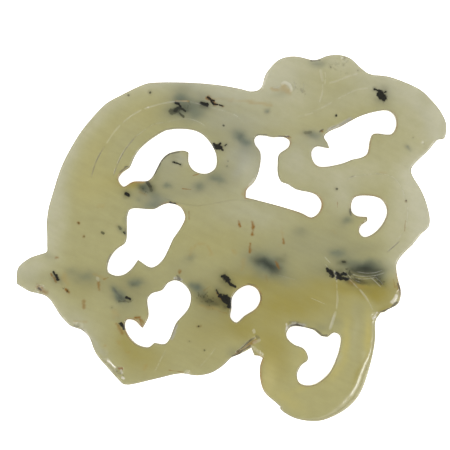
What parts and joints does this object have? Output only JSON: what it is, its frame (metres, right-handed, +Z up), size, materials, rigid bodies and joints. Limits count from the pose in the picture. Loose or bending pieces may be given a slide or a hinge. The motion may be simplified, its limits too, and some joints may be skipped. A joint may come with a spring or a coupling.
{
  "type": "jade carving",
  "caption": "Flat openwork nephrite plaque cut as a coiled dragon, pierced by eight openings, with fine incised lines. It lies on its plain flat back.",
  "frame": {"origin": "centre of the plan's bounding box, on the flat back that the plaque rests on", "axes": "+X along the greatest length, towards the dragon's snout; +Y across the plaque, towards the top of the head; +Z up through the thickness, out of the carved face"},
  "size_m": [0.086, 0.0734, 0.0045],
  "materials": {
    "nephrite": "hand-polished, translucent pale green stone with black and blue-grey inclusions"
  },
  "bodies": {
    "root": {"jade_plaque": "nephrite"}
  },
  "joints": []
}
